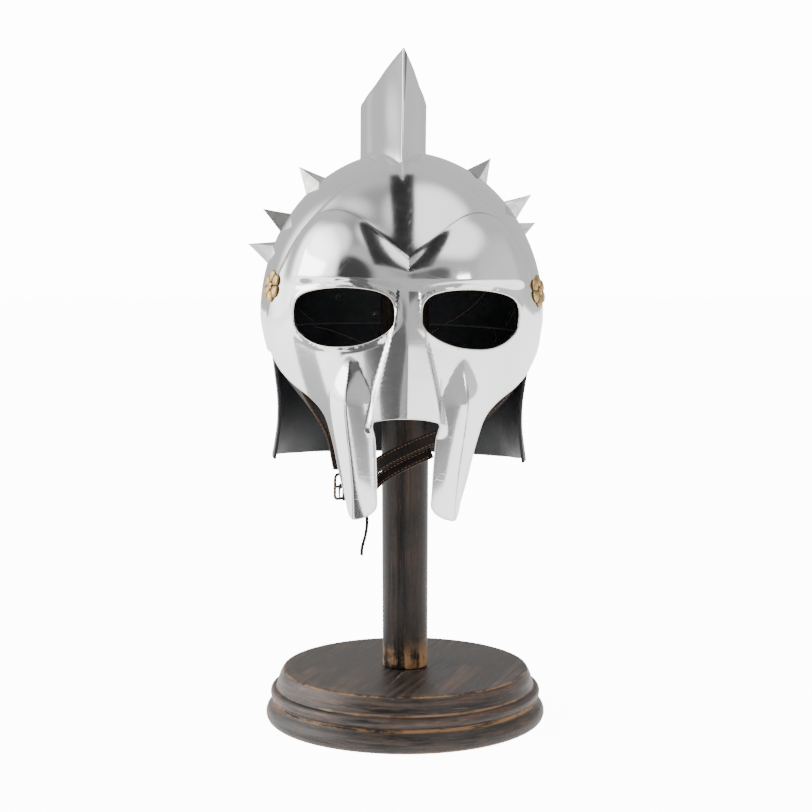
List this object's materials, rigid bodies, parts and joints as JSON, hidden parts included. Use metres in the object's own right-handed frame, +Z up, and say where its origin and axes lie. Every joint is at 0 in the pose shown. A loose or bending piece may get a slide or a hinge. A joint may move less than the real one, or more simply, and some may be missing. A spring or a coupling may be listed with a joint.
{
  "type": "gladiator helmet on stand",
  "caption": "Polished metal gladiator helmet with masked face, finned crest, pyramid studs and leather neck guard, on a turned wooden display stand",
  "frame": {"origin": "centre of the stand base's underside", "axes": "+Z up, the face looks along -Y, +X is to the right of someone facing it"},
  "size_m": [0.2374, 0.2822, 0.5312],
  "materials": {
    "steel": "hand-polished sheet, fine scratches",
    "spike_steel": "duller cast studs, satin",
    "brass": "aged, dark in the hollows",
    "black_leather": "smooth black, slight sheen",
    "strap_leather": "dark brown-black, tan stitching",
    "dark_bronze": "dark antique bronze",
    "wood": "dark brown stain, worn orange-brown edges"
  },
  "bodies": {
    "root": {"skull": "steel", "face_plate": "steel", "crest_fin": "steel", "spike_left_1": "spike_steel", "spike_left_2": "spike_steel", "spike_left_3": "spike_steel", "spike_left_4": "spike_steel", "spike_right_1": "spike_steel", "spike_right_2": "spike_steel", "spike_right_3": "spike_steel", "spike_right_4": "spike_steel", "rosette_left": "brass", "rosette_right": "brass", "liner": "black_leather", "neck_guard": "black_leather", "chin_strap_left": "strap_leather", "chin_strap_right": "strap_leather", "chin_strap_end": "strap_leather", "chin_buckle": "dark_bronze", "chin_lace": "strap_leather", "stand_post": "wood", "stand_base": "wood"}
  },
  "joints": []
}
